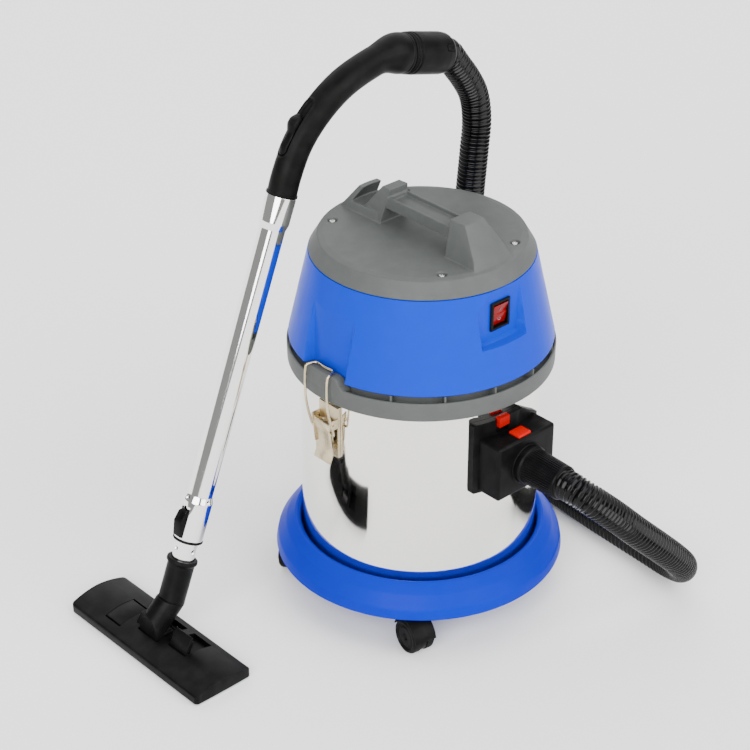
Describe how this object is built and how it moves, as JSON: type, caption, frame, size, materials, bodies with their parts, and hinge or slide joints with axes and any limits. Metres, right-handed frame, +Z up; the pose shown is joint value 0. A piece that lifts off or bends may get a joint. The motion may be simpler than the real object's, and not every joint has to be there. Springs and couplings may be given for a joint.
{
  "type": "shop vacuum",
  "caption": "Upright canister shop vacuum: steel drum on a caster dolly, latched motor head, flexible hose, telescopic wand and floor nozzle.",
  "frame": {"origin": "on the floor, under the centre of the box round everything except the hose", "axes": "+Z up; the hose inlet and the switch face -Y; the latches are on -X and +X of the drum, and the wand and nozzle stand on the -X side"},
  "size_m": [0.6572, 0.5449, 0.7004],
  "materials": {
    "dolly_blue": "satin moulded polypropylene",
    "head_blue": "semi-gloss moulded ABS",
    "grey_plastic": "fine matt moulded ABS",
    "polished_steel": "mirror-polished stainless steel",
    "hose_plastic": "glossy corrugated PE",
    "black_plastic": "satin moulded black plastic",
    "black_rubber": "matt rubber",
    "zinc_plated_steel": "yellowish zinc-plated steel",
    "screw_steel": "bright zinc-plated steel",
    "aluminium": "plain aluminium",
    "copper_winding": "varnished copper winding on a steel shaft",
    "filter_paper": "off-white non-woven cloth",
    "red_plastic": "gloss red plastic",
    "orange_plastic": "gloss orange-red plastic"
  },
  "bodies": {
    "tank": {"dolly": "dolly_blue", "drum": "polished_steel", "inlet_plate": "black_plastic", "inlet_seal": "black_rubber", "inlet_housing": "black_plastic", "inlet_deflector": "black_plastic", "latch_plate_left": "zinc_plated_steel", "latch_plate_right": "zinc_plated_steel", "head_ring": "grey_plastic", "head_gasket": "black_rubber", "head_shell": "head_blue", "top_cap": "grey_plastic", "cap_screw_1": "screw_steel", "cap_screw_2": "screw_steel", "cap_screw_3": "screw_steel", "cap_screw_4": "screw_steel", "switch_bezel": "black_plastic", "cord_gland": "black_plastic", "motor_housing": "aluminium", "fan_cover": "aluminium", "filter": "filter_paper", "float_cage": "black_plastic", "hose": "hose_plastic", "inner_tube": "polished_steel", "neck": "black_plastic"},
    "caster_1": {"caster_hood_1": "black_plastic"},
    "wheels_1": {"caster_wheels_1": "black_rubber"},
    "caster_2": {"caster_hood_2": "black_plastic"},
    "wheels_2": {"caster_wheels_2": "black_rubber"},
    "caster_3": {"caster_hood_3": "black_plastic"},
    "wheels_3": {"caster_wheels_3": "black_rubber"},
    "caster_4": {"caster_hood_4": "black_plastic"},
    "wheels_4": {"caster_wheels_4": "black_rubber"},
    "lever_right": {"latch_lever_right": "zinc_plated_steel"},
    "bail_right": {"latch_bail_right": "zinc_plated_steel"},
    "lever_left": {"latch_lever_left": "zinc_plated_steel"},
    "bail_left": {"latch_bail_left": "zinc_plated_steel"},
    "rotor": {"armature": "copper_winding", "impeller": "aluminium", "cooling_fan": "black_plastic"},
    "float": {"float_ball": "dolly_blue"},
    "rocker": {"switch_rocker": "red_plastic"},
    "plate_key": {"plate_button": "red_plastic"},
    "hose_key": {"hose_button": "orange_plastic"},
    "inlet_cuff": {"hose_cuff_inlet": "black_plastic"},
    "telescope": {"outer_tube": "polished_steel", "tube_end_ring": "black_rubber", "grip": "black_plastic"},
    "tube_key": {"tube_button": "black_plastic"},
    "slider": {"grip_slider": "black_plastic"},
    "grip_cuff": {"hose_cuff_grip": "black_plastic"},
    "elbow": {"elbow": "black_plastic"},
    "nozzle": {"nozzle_top": "black_plastic", "nozzle_sole": "aluminium"},
    "pedal_right": {"pedal_right": "black_plastic"},
    "pedal_left": {"pedal_left": "black_plastic"},
    "brushes": {"brush_front": "black_rubber", "brush_rear": "black_rubber"}
  },
  "joints": [
    {"name": "caster_1_swivel", "type": "hinge", "parent": "tank", "child": "caster_1", "pos_m": [0.22608, 0.11768, 0.06], "axis": [0, 0, 1], "continuous": true},
    {"name": "caster_1_roll", "type": "hinge", "parent": "caster_1", "child": "wheels_1", "pos_m": [0.24206, 0.1235, 0.0225], "axis": [-0.342, 0.9397, 0], "continuous": true},
    {"name": "caster_2_swivel", "type": "hinge", "parent": "tank", "child": "caster_2", "pos_m": [-0.00118, 0.13158, 0.06], "axis": [0, 0, 1], "continuous": true},
    {"name": "caster_2_roll", "type": "hinge", "parent": "caster_2", "child": "wheels_2", "pos_m": [-0.01494, 0.12159, 0.0225], "axis": [0.5878, -0.809, 0], "continuous": true},
    {"name": "caster_3_swivel", "type": "hinge", "parent": "tank", "child": "caster_3", "pos_m": [-0.01508, -0.09568, 0.06], "axis": [0, 0, 1], "continuous": true},
    {"name": "caster_3_roll", "type": "hinge", "parent": "caster_3", "child": "wheels_3", "pos_m": [-0.01803, -0.11242, 0.0225], "axis": [0.9848, -0.1736, 0], "continuous": true},
    {"name": "caster_4_swivel", "type": "hinge", "parent": "tank", "child": "caster_4", "pos_m": [0.21218, -0.10958, 0.06], "axis": [0, 0, 1], "continuous": true},
    {"name": "caster_4_roll", "type": "hinge", "parent": "caster_4", "child": "wheels_4", "pos_m": [0.22265, -0.09619, 0.0225], "axis": [-0.788, 0.6157, 0], "continuous": true},
    {"name": "latch_right_lever", "type": "hinge", "parent": "tank", "child": "lever_right", "pos_m": [0.266, 0.011, 0.29], "axis": [0, -1, 0], "range_deg": [0, 100]},
    {"name": "latch_right_bail", "type": "hinge", "parent": "lever_right", "child": "bail_right", "pos_m": [0.2675, 0.011, 0.279], "axis": [0, 1, 0], "range_deg": [0, 131]},
    {"name": "latch_left_lever", "type": "hinge", "parent": "tank", "child": "lever_left", "pos_m": [-0.055, 0.011, 0.29], "axis": [0, 1, 0], "range_deg": [0, 100]},
    {"name": "latch_left_bail", "type": "hinge", "parent": "lever_left", "child": "bail_left", "pos_m": [-0.0565, 0.011, 0.279], "axis": [0, -1, 0], "range_deg": [0, 131]},
    {"name": "motor_spin", "type": "hinge", "parent": "tank", "child": "rotor", "pos_m": [0.1055, 0.011, 0.41], "axis": [0, 0, 1], "continuous": true},
    {"name": "float_rise", "type": "slide", "parent": "tank", "child": "float", "axis": [0, 0, 1], "range_m": [0, 0.066]},
    {"name": "switch_rock", "type": "hinge", "parent": "tank", "child": "rocker", "pos_m": [0.0995, -0.124, 0.437], "axis": [-1, 0, 0], "range_deg": [0, 18]},
    {"name": "plate_button_press", "type": "slide", "parent": "tank", "child": "plate_key", "axis": [0, 0, -1], "range_m": [0, 0.004], "stiffness_N_per_m": 500, "springref_m": -0.002},
    {"name": "hose_button_press", "type": "slide", "parent": "tank", "child": "hose_key", "axis": [0, 0, -1], "range_m": [0, 0.003], "stiffness_N_per_m": 500, "springref_m": -0.002},
    {"name": "inlet_cuff_swivel", "type": "hinge", "parent": "tank", "child": "inlet_cuff", "pos_m": [0.1055, -0.204, 0.249], "axis": [0, -1, 0], "continuous": true},
    {"name": "telescope_slide", "type": "slide", "parent": "tank", "child": "telescope", "axis": [0.3665, 0, 0.9304], "range_m": [0, 0.3], "deforming": ["hose"]},
    {"name": "tube_button_slide", "type": "slide", "parent": "telescope", "child": "tube_key", "axis": [0.3665, 0, 0.9304], "range_m": [0, 0.005], "stiffness_N_per_m": 400, "springref_m": -0.002},
    {"name": "grip_slider_move", "type": "slide", "parent": "telescope", "child": "slider", "axis": [0.6756, 0, 0.7373], "range_m": [0, 0.022]},
    {"name": "grip_cuff_swivel", "type": "hinge", "parent": "telescope", "child": "grip_cuff", "pos_m": [0.1639, 0.109, 0.6726], "axis": [0.9659, 0, -0.2588], "continuous": true},
    {"name": "elbow_swivel", "type": "hinge", "parent": "tank", "child": "elbow", "pos_m": [-0.2255, 0.109, 0.057], "axis": [0.5, 0, 0.866], "range_deg": [-30, 30]},
    {"name": "nozzle_tilt", "type": "hinge", "parent": "elbow", "child": "nozzle", "pos_m": [-0.2495, 0.109, 0.023], "axis": [0, 1, 0], "range_deg": [-12, 12]},
    {"name": "pedal_right_press", "type": "hinge", "parent": "nozzle", "child": "pedal_right", "pos_m": [-0.2555, 0.06, 0.021], "axis": [0, 1, 0], "range_deg": [0, 60]},
    {"name": "pedal_left_rise", "type": "hinge", "parent": "nozzle", "child": "pedal_left", "pos_m": [-0.254, 0.1505, 0.024], "axis": [1, 0, 0], "range_deg": [0, 17.2]},
    {"name": "brush_lift", "type": "slide", "parent": "nozzle", "child": "brushes", "axis": [0, 0, 1], "range_m": [0, 0.003]}
  ],
  "couplings": [
    {"joint": "latch_right_bail", "follows": "latch_right_lever", "ratio": 1.3},
    {"joint": "latch_left_bail", "follows": "latch_left_lever", "ratio": 1.3},
    {"joint": "pedal_left_rise", "follows": "brush_lift", "rad_per_m": 99},
    {"joint": "pedal_right_press", "follows": "brush_lift", "rad_per_m": 348}
  ]
}
